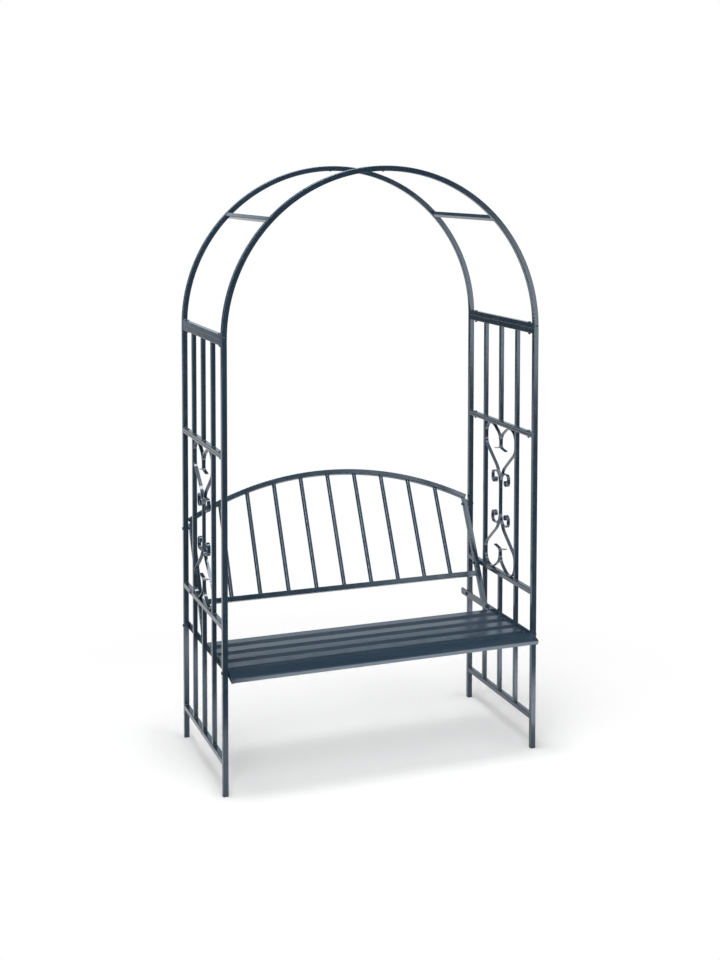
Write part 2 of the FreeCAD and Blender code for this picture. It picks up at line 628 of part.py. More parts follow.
def seat_rail_outline():
    """Corners of a side rail in its own plane, as (y, z) pairs from the rear end round."""
    top = size("sizes.seat_top")
    height = size("sizes.seat_rail_height")
    rear = size(SEAT_REAR)
    bend_y = -size(SEAT_BEND)
    nose = size("sizes.seat_nose_length")
    angle = math.radians(size("sizes.seat_nose_angle"))
    nose_y = bend_y - nose * math.cos(angle)
    nose_z = top - nose * math.sin(angle)
    return [
        (rear, top),
        (bend_y, top),
        (nose_y, nose_z),
        (nose_y - height * math.sin(angle), nose_z - height * math.cos(angle)),
        (bend_y - height * math.tan(angle / 2), top - height),
        (rear, top - height),
    ]


for side_name, side_x, side_sign in sides:
    rail = document.addObject("PartDesign::Body", f"{side_name}_seat_rail")
    rail.Label = f"{side_name}_seat_rail"
    outline = new_sketch(rail, "outline", "YZ_Plane")
    corners = [FreeCAD.Vector(y, z, 0) for y, z in seat_rail_outline()]
    for number in range(len(corners)):
        following = (number + 1) % len(corners)
        outline.addGeometry(Part.LineSegment(corners[number], corners[following]), False)
    for number in range(len(corners)):
        following = (number + 1) % len(corners)
        outline.addConstraint(Sketcher.Constraint("Coincident", number, 2, following, 1))
        outline.addConstraint(Sketcher.Constraint("Block", number))
    plate = rail.newObject("PartDesign::Pad", "flat_bar")
    plate.Profile = outline
    plate.setExpression("Length", "sizes.seat_rail_thickness")
    plate.SideType = "Symmetric"

    def is_at(points):
        """A test for the edges across the plate at the given corners of its outline."""
        return lambda edge: min(math.hypot(edge.CenterOfMass.y - point.x, edge.CenterOfMass.z - point.y)
                                for point in points) < SAME_PLACE

    round_long_edges(rail, NOSE_ROUNDING, is_at([corners[3]]))
    round_long_edges(rail, "sizes.seat_rail_rounding", is_at([corners[0], corners[5]]))
    bolt_spots = [(f"-({HALF_DEPTH})", SEAT_BOLT_HEIGHT), (HALF_DEPTH, SEAT_BOLT_HEIGHT),
                  (BACK_FOOT, SEAT_BOLT_HEIGHT)]
    drill(rail, "bolt_holes", "YZ_Plane", HOLE, bolt_spots, "4 * sizes.seat_rail_thickness")
    place(rail, f"{side_sign} * ({SEAT_RAIL_INNER} + sizes.seat_rail_thickness / 2)", "0", "0")
    nodes.append(rail)

slat_z = "sizes.seat_top - sizes.seat_rail_height + sizes.slat_thickness / 2"
for number in range(SLAT_COUNT):
    slat = straight_tube(f"slat_{number + 1}", "sizes.slat_thickness", "sizes.slat_depth", SLAT_LENGTH)
    place(slat, "0", f"{FIRST_SLAT} - {number} * {SLAT_PITCH}", slat_z, ALONG_X)
    nodes.append(slat)

front_slat = straight_tube("front_slat", "sizes.slat_thickness", "sizes.front_slat_depth", SLAT_LENGTH)
nose_angle = size("sizes.seat_nose_angle")
NOSE = "(sizes.seat_nose_angle * 1deg)"
BACK_FROM_NOSE = "(sizes.front_slat_depth / 2)"
DOWN_FROM_TOP = "(sizes.slat_thickness / 2)"
NOSE_TIP_Y = f"(-{SEAT_BEND} - sizes.seat_nose_length * cos{NOSE})"
NOSE_TIP_Z = f"(sizes.seat_top - sizes.seat_nose_length * sin{NOSE})"
front_slat_y = f"{NOSE_TIP_Y} + {BACK_FROM_NOSE} * cos{NOSE} - {DOWN_FROM_TOP} * sin{NOSE}"
front_slat_z = f"{NOSE_TIP_Z} + {BACK_FROM_NOSE} * sin{NOSE} - {DOWN_FROM_TOP} * cos{NOSE}"
place(front_slat, "0", front_slat_y, front_slat_z, FreeCAD.Rotation(X_AXIS, nose_angle) * ALONG_X)
nodes.append(front_slat)

# Backrest. Two uprights stand inside the seat rails and lean back past the rear posts.
# They carry a bottom rail and a curved top rail, with nine round spindles between.
# Its pieces are made in its own plane, with Z up the slope, and then leaned back.

back_lean = FreeCAD.Rotation(X_AXIS, -size("sizes.back_tilt"))
back_foot = FreeCAD.Vector(0, size(BACK_FOOT), size(SEAT_BOLT_HEIGHT))
back_place = FreeCAD.Placement(back_foot, back_lean)
upright_x = size(f"{SEAT_RAIL_INNER} - sizes.post_side / 2")
UPRIGHT_X = f"({SEAT_RAIL_INNER} - sizes.post_side / 2)"
MIDDLE_BOLT_UP = f"((sizes.middle_rail_height - {SEAT_BOLT_HEIGHT}) / cos(sizes.back_tilt * 1deg))"
POST_BOLT_UP = "(sizes.back_foot_inset / sin(sizes.back_tilt * 1deg))"
BACK_CORNER = f"({POST_BOLT_UP} + sizes.back_corner_reach)"
BACK_RISE = "sizes.back_crown"
BACK_RADIUS = f"(({UPRIGHT_X} * {UPRIGHT_X} + {BACK_RISE} * {BACK_RISE}) / (2 * {BACK_RISE}))"
post_side = size("sizes.post_side")
back_radius = size(BACK_RADIUS)
back_centre = size(f"{BACK_CORNER} + {BACK_RISE} - {BACK_RADIUS}")

band_outer = Part.makeCylinder(back_radius + post_side / 2, 2 * post_side,
                               FreeCAD.Vector(0, -post_side, back_centre), Y_AXIS)
band_inner = Part.makeCylinder(back_radius - post_side / 2, 2 * post_side,
                               FreeCAD.Vector(0, -post_side, back_centre), Y_AXIS)
top_rail_space = band_outer.cut(band_inner)

BACK_HALF_SWEEP = f"asin({SEAT_RAIL_INNER} / ({BACK_RADIUS} + sizes.post_side / 2)) / 1deg"
back_top_rail = curved_tube("back_top_rail", "sizes.post_side", BACK_RADIUS, f"2 * {BACK_HALF_SWEEP}", True)
tube_turn = FreeCAD.Rotation(Y_AXIS, size(BACK_HALF_SWEEP) - 90)
back_top_rail.Placement = back_place * FreeCAD.Placement(FreeCAD.Vector(0, 0, back_centre), tube_turn)
nodes.append(back_top_rail)

back_low_rail = straight_tube("back_low_rail", "sizes.post_side", "sizes.post_side",
                              f"2 * {UPRIGHT_X} - sizes.post_side")
low_rail_middle = FreeCAD.Vector(0, 0, size("sizes.back_low_rail"))
back_low_rail.Placement = back_place * FreeCAD.Placement(low_rail_middle, ALONG_X)
nodes.append(back_low_rail)

# An upright's foot is pressed flat against the seat rail, so one bolt holds the two.

flat_top = size("sizes.flat_top")
squeeze_top = size("sizes.squeeze_top")
flat_end = -size("sizes.back_end")
flat_thickness = size("sizes.flat_thickness")
flat_width = size("sizes.flat_width")
FOOT_ROUNDING_SHARE = 0.35


def rectangle_wire(x_low, x_high, half_depth_y, z):
    """A closed rectangle square to the Z axis."""
    corners = [(x_low, -half_depth_y), (x_high, -half_depth_y), (x_high, half_depth_y), (x_low, half_depth_y)]
    return Part.makePolygon([FreeCAD.Vector(x, y, z) for x, y in corners + corners[:1]])


def flattened_foot(side_sign):
    """The solid foot below the square tube, in the plane of the backrest."""
    outer_face = side_sign * post_side / 2
    flat_face = side_sign * (post_side / 2 - flat_thickness)
    x_low, x_high = sorted((outer_face, flat_face))
    square = rectangle_wire(-post_side / 2, post_side / 2, post_side / 2, squeeze_top)
    flat = rectangle_wire(x_low, x_high, flat_width / 2, flat_top)
    squeeze = Part.makeLoft([flat, square], True, True)
    tongue = Part.makeBox(flat_thickness, flat_width, flat_top - flat_end,
                          FreeCAD.Vector(x_low, -flat_width / 2, flat_end))
    end_corners = [edge for edge in tongue.Edges
                   if abs(edge.CenterOfMass.z - flat_end) < SAME_PLACE
                   and abs(edge.CenterOfMass.y) > flat_width / 2 - SAME_PLACE]
    tongue = tongue.makeFillet(FOOT_ROUNDING_SHARE * flat_width, end_corners)
    hole_radius = size(HOLE) / 2
    hole = Part.makeCylinder(hole_radius, 2 * post_side, FreeCAD.Vector(-post_side, 0, 0), X_AXIS)
    return squeeze.fuse(tongue).cut(hole)


for side_name, side_x, side_sign in sides:
    tube = straight_tube(f"{side_name}_upright_tube", "sizes.post_side", "sizes.post_side",
                         f"{BACK_CORNER} - sizes.squeeze_top", symmetric=False)
    upright_bolts = [("0", f"{up} - sizes.squeeze_top") for up in (MIDDLE_BOLT_UP, POST_BOLT_UP)]
    drill(tube, "bolt_holes", "YZ_Plane", HOLE, upright_bolts, "2 * sizes.post_side")
    document.recompute()
    square_part = tube.Shape.copy()
    square_part.Placement = FreeCAD.Placement(FreeCAD.Vector(0, 0, squeeze_top), FreeCAD.Rotation())
    whole = square_part.fuse(flattened_foot(side_sign))
    whole.translate(FreeCAD.Vector(side_sign * upright_x, 0, 0))
    upright = document.addObject("Part::Feature", f"{side_name}_back_upright")
    upright.Label = f"{side_name}_back_upright"
    upright.Shape = whole.cut(top_rail_space)
    upright.Placement = back_place
    nodes.append(upright)

# The spindles stand evenly, with slightly wider gaps beside the uprights.

spindle_radius = size("sizes.spindle_diameter") / 2
spindle_foot = size("sizes.back_low_rail") + post_side / 2
inner_width = 2 * upright_x - post_side
END_GAP_SHARE = 1.07
gap_shares = SPINDLE_COUNT - 1 + 2 * END_GAP_SHARE
spindle_gap = (inner_width - SPINDLE_COUNT * 2 * spindle_radius) / gap_shares
spindle_pitch = spindle_gap + 2 * spindle_radius
rods = []
for number in range(SPINDLE_COUNT):
    rod_x = (number - (SPINDLE_COUNT - 1) / 2) * spindle_pitch
    rod_end = back_centre + math.sqrt(back_radius**2 - rod_x**2)
    rod_foot = FreeCAD.Vector(rod_x, 0, spindle_foot)
    rods.append(Part.makeCylinder(spindle_radius, rod_end - spindle_foot, rod_foot))
spindles = document.addObject("Part::Feature", "back_spindles")
spindles.Label = "back_spindles"
spindles.Shape = Part.makeCompound(rods).cut(top_rail_space)
spindles.Placement = back_place
nodes.append(spindles)

# Fasteners. Bolts pass down through the paired rails and across through posts, rails and
# uprights, each with a nut; a spacer fills the gap beside each upright.

bolt_radius = size("sizes.bolt_diameter") / 2
head_radius = size("sizes.bolt_head_diameter") / 2
head_height = size("sizes.bolt_head_height")
bolt_end = size("sizes.bolt_end")
nut_height = size("sizes.nut_height")
HEAD_ROUNDING_SHARE = 0.75
NUT_SIDES = 6


def bolt_shape(grip):
    """A dome head bolt along Z: the head's underside at zero, the shank going down."""
    head = Part.makeCylinder(head_radius, head_height)
    rim = [edge for edge in head.Edges if abs(edge.CenterOfMass.z - head_height) < SAME_PLACE and edge.Closed]
    head = head.makeFillet(HEAD_ROUNDING_SHARE * head_height, rim)
    shank_length = grip + nut_height + bolt_end
    shank = Part.makeCylinder(bolt_radius, shank_length, FreeCAD.Vector(0, 0, -shank_length))
    return head.fuse(shank).removeSplitter()


def nut_shape():
    """A hexagon nut with its upper face at zero and its bore along Z."""
    corner_radius = size("sizes.nut_width") / 2 / math.cos(math.pi / NUT_SIDES)
    corners = []
    for number in range(NUT_SIDES + 1):
        angle = 2 * math.pi * number / NUT_SIDES
        corner_x = corner_radius * math.cos(angle)
        corner_y = corner_radius * math.sin(angle)
        corners.append(FreeCAD.Vector(corner_x, corner_y, -nut_height))
    hexagon = Part.Face(Part.makePolygon(corners)).extrude(FreeCAD.Vector(0, 0, nut_height))
    bore = Part.makeCylinder(bolt_radius, nut_height, FreeCAD.Vector(0, 0, -nut_height))
    return hexagon.cut(bore)


def along(direction):
    """A turn that takes the Z axis to a direction."""
    return FreeCAD.Rotation(Z_AXIS, direction)


nut = nut_shape()
nuts = []


def bolt_group(grip, heads):
    """Bolts of one grip at (head place, outward direction) pairs; each adds its nut."""
    pattern = bolt_shape(grip)
    group = []
    for head_place, outward in heads:
        bolt = pattern.copy()
        bolt.Placement = FreeCAD.Placement(head_place, along(outward))
        group.append(bolt)
        own_nut = nut.copy()
        own_nut.Placement = FreeCAD.Placement(head_place - outward * grip, along(outward))
        nuts.append(own_nut)
    return group


half_spacing = size(HALF_SPACING)
half_depth = size(HALF_DEPTH)
joint_rail_height = size("sizes.joint_rail_height")
frame_bolt_y = size(FRAME_BOLT_Y)
rail_thickness = size("sizes.seat_rail_thickness")
seat_bolt_height = size(SEAT_BOLT_HEIGHT)

joint_heads = []
arch_heads = []
seat_heads = []
foot_heads = []
back_heads = []
spacer_places = []
for side_sign in (-1, 1):
    outward = FreeCAD.Vector(side_sign, 0, 0)
    for end_sign in (-1, 1):
        bolt_y = end_sign * frame_bolt_y
        joint_top = FreeCAD.Vector(side_sign * half_spacing, bolt_y, frame_joint + joint_rail_height)
        joint_heads.append((joint_top, Z_AXIS))
        arch_heads.append((FreeCAD.Vector(side_sign * half_spacing, bolt_y, frame_top + post_side), Z_AXIS))
        post_face = side_sign * (half_spacing + post_side / 2)
        seat_heads.append((FreeCAD.Vector(post_face, end_sign * half_depth, seat_bolt_height), outward))
    rail_face = side_sign * (half_spacing - post_side / 2)
    foot_heads.append((FreeCAD.Vector(rail_face, size(BACK_FOOT), seat_bolt_height), outward))
    outer_face = side_sign * (half_spacing + post_side / 2)
    upper_spots = [
        (size(BACK_RAIL_BOLT_Y), size("sizes.middle_rail_height")),
        (half_depth, size(BACK_POST_BOLT_HEIGHT)),
    ]
    for bolt_y, bolt_z in upper_spots:
        back_heads.append((FreeCAD.Vector(outer_face, bolt_y, bolt_z), outward))
        spacer_foot = FreeCAD.Vector(rail_face, bolt_y, bolt_z)
        spacer_places.append(FreeCAD.Placement(spacer_foot, along(-1 * outward)))

frame_bolt_solids = bolt_group(2 * joint_rail_height, joint_heads) + bolt_group(2 * post_side, arch_heads)
seat_bolt_solids = bolt_group(post_side + rail_thickness, seat_heads)
seat_bolt_solids += bolt_group(flat_thickness + rail_thickness, foot_heads)
back_bolt_solids = bolt_group(2 * post_side + rail_thickness, back_heads)
bolt_nodes = [("frame_bolts", frame_bolt_solids), ("seat_bolts", seat_bolt_solids),
              ("back_bolts", back_bolt_solids), ("lock_nuts", nuts)]
for label, solids in bolt_nodes:
    group = document.addObject("Part::Feature", label)
    group.Label = label
    group.Shape = Part.makeCompound(solids)
    nodes.append(group)

spacer = Part.makeCylinder(head_radius, rail_thickness)
spacer = spacer.cut(Part.makeCylinder(bolt_radius, rail_thickness))
nodes.append(solids_at("back_spacers", spacer, spacer_places))

screw_head_radius = size("sizes.screw_head_diameter") / 2
screw_head_height = size("sizes.screw_head_height")
screw_length = size("sizes.screw_length")
screw_head = Part.makeCylinder(screw_head_radius, screw_head_height)
screw_rim = [edge for edge in screw_head.Edges
             if abs(edge.CenterOfMass.z - screw_head_height) < SAME_PLACE and edge.Closed]
screw_head = screw_head.makeFillet(HEAD_ROUNDING_SHARE * screw_head_height, screw_rim)
screw_shank = Part.makeCylinder(screw_radius, screw_length, FreeCAD.Vector(0, 0, -screw_length))
screw = screw_head.fuse(screw_shank).removeSplitter()
screw_places = []
screw_height = frame_top + size("sizes.arch_screw_height")
head_edge_x = apex_screw_x - screw_head_radius
underside = frame_top + math.sqrt((arch_radius - post_side / 2) ** 2 - head_edge_x**2)
for corner_x, corner_y, side_sign, end_sign in post_corners:
    leg_face = FreeCAD.Vector(corner_x, corner_y + end_sign * post_side / 2, screw_height)
    screw_places.append(FreeCAD.Placement(leg_face, along(FreeCAD.Vector(0, end_sign, 0))))
for end_name, end_y, end_sign in ends:
    apex_face = FreeCAD.Vector(apex_screw_x, size(end_y), underside)
    screw_places.append(FreeCAD.Placement(apex_face, along(FreeCAD.Vector(0, 0, -1))))
nodes.append(solids_at("arch_screws", screw, screw_places))

# Checks, and one file for each node.

document.recompute()
for item in document.Objects:
    if any(word in item.State for word in ("Invalid", "Error")):
        raise RuntimeError(f"{item.Label} failed: {item.State}")
for pocket in checked_cuts:
    before = pocket.BaseFeature.Shape.Volume
    if pocket.Shape.Volume > before - 1:
        raise RuntimeError(f"{pocket.getParentGeoFeatureGroup().Label} {pocket.Label} cuts nothing")
for node in nodes:
    if node.Shape.isNull() or not node.Shape.isValid():
        raise RuntimeError(f"{node.Label} has no valid shape")

os.makedirs("parts", exist_ok=True)
for node in nodes:
    node.Shape.exportStep(f"parts/{node.Label}.step")
print(len(nodes), "nodes,", sum(len(node.Shape.Solids) for node in nodes), "solids")
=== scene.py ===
import math

import bmesh
import bpy
from mathutils import Matrix, Vector


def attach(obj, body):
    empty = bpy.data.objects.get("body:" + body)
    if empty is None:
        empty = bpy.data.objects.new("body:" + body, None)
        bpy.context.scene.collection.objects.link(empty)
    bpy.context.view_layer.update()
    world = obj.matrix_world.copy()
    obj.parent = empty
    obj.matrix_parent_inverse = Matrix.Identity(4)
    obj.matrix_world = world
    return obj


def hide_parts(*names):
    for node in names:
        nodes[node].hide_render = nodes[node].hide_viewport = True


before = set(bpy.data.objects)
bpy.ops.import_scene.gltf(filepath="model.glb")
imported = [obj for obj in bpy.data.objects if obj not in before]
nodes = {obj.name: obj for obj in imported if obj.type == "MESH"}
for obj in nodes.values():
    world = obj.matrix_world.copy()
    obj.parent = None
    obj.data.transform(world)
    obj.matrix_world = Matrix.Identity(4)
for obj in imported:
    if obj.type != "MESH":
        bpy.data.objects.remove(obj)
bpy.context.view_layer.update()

# Posts and rails of the two side frames. Square steel tube, welded up and then powder
# coated as whole frames, so that one dark slate coat runs over posts, rails and bars.
# The coat has the fine skin of baked powder and faint patches from handling.


class Signal:
    """A socket of a finish, so that sums and products of sockets read as such."""

    def __init__(self, finish, socket):
        self.finish = finish
        self.socket = socket

    def joined(self, operation, first, second):
        return self.finish.add("ShaderNodeMath", {"operation": operation}, {0: first, 1: second})

    def __add__(self, other):
        return self.joined("ADD", self, other)

    def __radd__(self, other):
        return self.joined("ADD", other, self)

    def __mul__(self, other):
        return self.joined("MULTIPLY", self, other)

    def __rmul__(self, other):
        return self.joined("MULTIPLY", other, self)


class Finish:
    """A material, or the world around the object, that is put together node by node."""

    def __init__(self, name, kind="materials"):
        self.holder = getattr(bpy.data, kind).new(name)
        self.holder.use_nodes = True
        self.tree = self.holder.node_tree
        self.tree.nodes.clear()

    def add(self, kind, settings=None, sockets=None, output=None):
        """Adds a node: first its settings, then the values or links of its sockets."""
        node = self.tree.nodes.new(kind)
        for name, value in (settings or {}).items():
            if name == "stops":
                while len(node.color_ramp.elements) < len(value):
                    node.color_ramp.elements.new(1)
                for stop, (position, shade) in zip(node.color_ramp.elements, value):
                    stop.position = position
                    stop.color = (shade, shade, shade, 1)
            else:
                setattr(node, name, value)
        for name, value in (sockets or {}).items():
            if isinstance(name, int):
                socket = node.inputs[name]
            else:
                socket = next(item for item in node.inputs if item.enabled and item.name == name)
            if isinstance(value, Signal):
                self.tree.links.new(value.socket, socket)
            else:
                socket.default_value = value
        found = [item for item in node.outputs if item.enabled and output in (None, item.name)]
        return Signal(self, found[0]) if found else None

    def noise(self, place, per_metre, detail=3, roughness=0.5):
        """A cloud pattern between 0 and 1, with so many clouds to a metre."""
        return self.add("ShaderNodeTexNoise", None, {
            "Vector": place,
            "Scale": per_metre,
            "Detail": detail,
            "Roughness": roughness,
        }, "Fac")

    def ramp(self, signal, stops):
        """The signal run through grey stops, given as (position, shade)."""
        return self.add("ShaderNodeValToRGB", {"stops": stops}, {"Fac": signal}, "Color")


def powder_coat(name, deep, worn, roughness, skin=0.025, stretch=(1, 1, 1)):
    """Baked powder on steel: a deep tone that pales a little where it was rubbed."""
    finish = Finish(name)
    place = finish.add("ShaderNodeTexCoord", output="Object")
    drawn = finish.add("ShaderNodeMapping", None, {"Vector": place, "Scale": stretch})
    patches = finish.noise(drawn, per_metre=14, detail=5, roughness=0.62)
    rubbed = finish.ramp(patches, [(0.42, 0), (0.72, 1)])
    grains = finish.noise(place, per_metre=2400, detail=1)
    peel = finish.noise(place, per_metre=620, detail=2, roughness=0.4)
    peel_depth = 0.0004
    smoothest = roughness - 0.03
    colour = finish.add("ShaderNodeMix", {"data_type": "RGBA"},
                        {"Factor": rubbed * 0.75 + grains * 0.25, "A": (*deep, 1), "B": (*worn, 1)})
    bump = finish.add("ShaderNodeBump", None,
                      {"Strength": skin, "Distance": peel_depth, "Height": peel + grains * 0.2})
    shader = finish.add("ShaderNodeBsdfPrincipled", None, {
        "Base Color": colour,
        "Roughness": rubbed * 0.05 + grains * 0.04 + smoothest,
        "Specular IOR Level": 0.8,
        "Specular Tint": (0.80, 0.90, 1.0, 1),
        "Normal": bump,
    })
    finish.add("ShaderNodeOutputMaterial", None, {"Surface": shader})
    return finish.holder


def dress(material, *names):
    """Gives CAD nodes their finish, in the material slots that they have."""
    for name in names:
        node = nodes[name]
        if not node.material_slots:
            node.data.materials.append(material)
        for slot in node.material_slots:
            slot.material = material


slate = (0.018, 0.034, 0.054)
slate_worn = (0.030, 0.050, 0.072)
frame_coat = powder_coat("frame_powder_coat", slate, slate_worn, roughness=0.17)
sides = ("left", "right")
ends = ("front", "rear")
levels = ("lower", "upper")
rails = ("low", "middle", "lower_joint", "upper_joint", "top", "arch_base")
for side in sides:
    dress(frame_coat, *(f"{side}_{level}_{end}_post" for level in levels for end in ends))
    dress(frame_coat, *(f"{side}_{rail}_rail" for rail in rails))

# Trellis bars. Thinner square tube between the rails, three to a panel and two beside
# the scrolls. They hang on the same rack as the posts when coated, and get the same
# powder, a little thinner and glossier on the narrow faces.

bar_coat = powder_coat("bar_powder_coat", slate, slate_worn, roughness=0.16)
for side in sides:
    dress(bar_coat, *(f"{side}_{panel}_bars" for panel in ("lower", "middle", "upper")))

# Panel welds. Each rail is welded to its posts above and below, and each bar to its rail
# at its front and its back. A bead is laid in small overlapping pools and then coated
# with the frame, so it is as dark as the tube and softer at its edges.


def deselect_all():
    """Leaves edit mode and lets go of everything that is selected."""
    if bpy.context.object and bpy.context.object.mode != "OBJECT":
        bpy.ops.object.mode_set(mode="OBJECT")
    bpy.ops.object.select_all(action="DESELECT")


def laid_bead(length, radius):
    """A pattern bead along X, pushed out ring by ring from a small round end."""
    deselect_all()
    # share of the length, and share of the radius there
    rings = [(0.0, 0.50), (0.09, 0.88), (0.22, 1.0), (0.36, 0.84), (0.5, 1.0),
             (0.64, 0.84), (0.78, 1.0), (0.91, 0.88), (1.0, 0.50)]
    first_swell = rings[0][1]
    bpy.ops.mesh.primitive_circle_add(vertices=8, radius=radius * first_swell, fill_type="NGON",
                                      location=(-length / 2, 0, 0), rotation=(0, math.pi / 2, 0))
    bead = bpy.context.object
    bpy.ops.object.transform_apply(location=True, rotation=True, scale=True)
    bpy.ops.object.mode_set(mode="EDIT")
    bpy.ops.mesh.select_all(action="SELECT")
    for (before, old_swell), (after, swell) in zip(rings, rings[1:]):
        bpy.ops.mesh.extrude_region_move(
            TRANSFORM_OT_translate={"value": ((after - before) * length, 0, 0)})
        ratio = swell / old_swell
        bpy.ops.transform.resize(value=(1, ratio, ratio),
                                 center_override=((after - 0.5) * length, 0, 0))
    bpy.ops.mesh.select_all(action="SELECT")
    bpy.ops.mesh.normals_make_consistent(inside=False)
    bpy.ops.object.mode_set(mode="OBJECT")
    bpy.ops.object.shade_smooth()
    return bead


def set_out(pattern, name, places, material):
    """Copies a pattern to each (place, turn), joins the copies and makes them one piece."""
    deselect_all()
    copies = []
    for place, turn in places:
        copy = pattern.copy()
        copy.data = pattern.data.copy()
        bpy.context.collection.objects.link(copy)
        copy.matrix_world = Matrix.Translation(place) @ turn
        copy.select_set(True)
        copies.append(copy)
    piece = copies[0]
    bpy.context.view_layer.objects.active = piece
    bpy.ops.object.join()
    bpy.ops.object.transform_apply(location=True, rotation=True, scale=True)
    piece.name = name
    piece.data.name = name
    piece.data.materials.clear()
    piece.data.materials.append(material)
    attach(piece, "root")
    return piece


def turned(axis, degrees):
    """A turn about one axis, for a copy."""
    return Matrix.Rotation(math.radians(degrees), 4, axis)


as_laid = turned("X", 0)
side_x = {"left": -0.555, "right": 0.555}
post_inner_face = 0.270
bar_pitch = 0.136
bar_half = 0.0075
three_bars = (-bar_pitch, 0.0, bar_pitch)
two_bars = (-bar_pitch, bar_pitch)
# underside and top of each rail, or of two rails on each other, above the ground
low_rail = (0.103, 0.121)
middle_rail = (0.549, 0.567)
joint_rails = (1.107, 1.125)
top_rails = (1.474, 1.510)
panels = [(three_bars, low_rail, middle_rail), (two_bars, middle_rail, joint_rails),
          (three_bars, joint_rails, top_rails)]
weld_coat = powder_coat("weld_powder_coat", slate, slate_worn, roughness=0.34, skin=0.25)
bead = laid_bead(length=0.0125, radius=0.0021)
for side in sides:
    spots = []
    for height in low_rail + middle_rail + joint_rails + top_rails:
        for face in (-post_inner_face, post_inner_face):
            spots.append((Vector((side_x[side], face, height)), as_laid))
    for bars, (_, lower_end), (upper_end, _) in panels:
        for height in (lower_end, upper_end):
            for middle in bars:
                for face in (middle - bar_half, middle + bar_half):
                    spots.append((Vector((side_x[side], face, height)), as_laid))
    set_out(bead, f"{side}_panel_welds", spots, weld_coat)

# Scrolls and curls. Flat strip, bent cold over a former, so its edges stay crisp and its
# faces smooth. They are coated with the frame and shine more than the tubes. Tacks hold
# them to the rails, to the bars, to each other and to the curls.

scroll_coat = powder_coat("scroll_powder_coat", slate, slate_worn, roughness=0.15, skin=0.02)
for side in sides:
    dress(scroll_coat, f"{side}_front_scroll", f"{side}_rear_scroll", f"{side}_scroll_curls")

# tacks are placed sideways and upwards from the middle of the panel
panel_middle = 0.837
half_panel = 0.270
bar_inner_face = 0.1285
tack_sink = 0.0008
tacks_on_rail = [(reach, half_panel - tack_sink) for reach in (0.062, 0.101)]
tacks_on_bar = [(bar_inner_face - tack_sink, rise) for rise in (0.199, 0.234)]
tacks_on_curl = [(0.0128, 0.0860), (0.0152, 0.0903)]
scrolls_part = 0.0565
tack = laid_bead(length=0.0095, radius=0.0016)
for side in sides:
    spots = []
    for up in (-1, 1):
        for across in (-1, 1):
            for reach, rise in tacks_on_rail + tacks_on_bar + tacks_on_curl:
                place = Vector((side_x[side], across * reach, panel_middle + up * rise))
                spots.append((place, as_laid))
        spots.append((Vector((side_x[side], 0, panel_middle + up * scrolls_part)), as_laid))
    set_out(tack, f"{side}_scroll_tacks", spots, weld_coat)

# Arch. Four quarter arcs of the same square tube, bent on rollers and coated like the
# posts. Two of them meet at the top of each hoop, and two crossbars are welded between
# the hoops at their shoulders.

arch_coat = powder_coat("arch_powder_coat", slate, slate_worn, roughness=0.17)
for side in sides:
    dress(arch_coat, f"{side}_front_arc", f"{side}_rear_arc", f"{side}_arch_crossbar")
crossbar_degrees = 44
crossbar_angle = math.radians(crossbar_degrees)
crossbar_half = 0.008
arch_radius = 0.555
arch_foot = 1.492
spots = []
for side in sides:
    sign = -1 if side == "left" else 1
    across = turned("Y", sign * (90 - crossbar_degrees))
    for reach in (arch_radius - crossbar_half, arch_radius + crossbar_half):
        out = sign * reach * math.cos(crossbar_angle)
        up = arch_foot + reach * math.sin(crossbar_angle)
        for face in (-post_inner_face, post_inner_face):
            spots.append((Vector((out, face, up)), across))
set_out(bead, "crossbar_welds", spots, weld_coat)

# Seat. Two flat bars carry four level slats and a deeper sloping one of flat tube, which
# are welded below and at their edges. The level tops are wiped lengthwise, so the coat
# shows faint streaks along them.

seat_coat = powder_coat("seat_powder_coat", slate, slate_worn, roughness=0.24, skin=0.035,
                        stretch=(0.12, 1, 1))
dress(seat_coat, "slat_1", "slat_2", "slat_3", "slat_4", "front_slat")
dress(seat_coat, "left_seat_rail", "right_seat_rail")
seat_rail_inner = 0.542
slat_half_height = 0.0075
slat_half_depth = 0.021
slat_z = 0.4035
rear_slat_y = 0.028
slat_pitch = 0.081
weld_step = 0.0135
# middle of each slat, the degrees that it slopes, and half its depth
slat_rows = [(rear_slat_y - number * slat_pitch, slat_z, 0.0, slat_half_depth)
             for number in range(4)]
slat_rows.append((-0.31792, 0.40599, 15.0, 0.027))
for side in sides:
    sign = -1 if side == "left" else 1
    spots = []
    for row_y, row_z, slope, half_depth in slat_rows:
        tilt = turned("X", slope)
        centre = Matrix.Translation((sign * seat_rail_inner, row_y, row_z)) @ tilt
        for along in (-weld_step, 0.0, weld_step):
            spots.append((centre @ Vector((0, along, -slat_half_height)), tilt @ turned("Z", 90)))
        welded_edges = (half_depth, -half_depth) if slope == 0 else (half_depth,)
        for edge in welded_edges:
            spots.append((centre @ Vector((0, edge, 0)), tilt @ turned("Y", 90)))
    set_out(bead, f"{side}_seat_welds", spots, weld_coat)

# Backrest. Square tube uprights, a straight bottom rail and a curved top rail, with nine
# round rods between them. Each rod is welded all round at both of its ends.

back_coat = powder_coat("back_powder_coat", slate, slate_worn, roughness=0.19)
dress(back_coat, "back_low_rail", "back_top_rail", "left_back_upright", "right_back_upright")
rod_coat = powder_coat("rod_powder_coat", slate, slate_worn, roughness=0.16)
dress(rod_coat, "back_spindles")
foot_bolt_y = 0.087
seat_rail_middle = 0.4085
back_tilt = 28.6
lean = turned("X", -back_tilt)
back_plane = Matrix.Translation((0, foot_bolt_y, seat_rail_middle)) @ lean
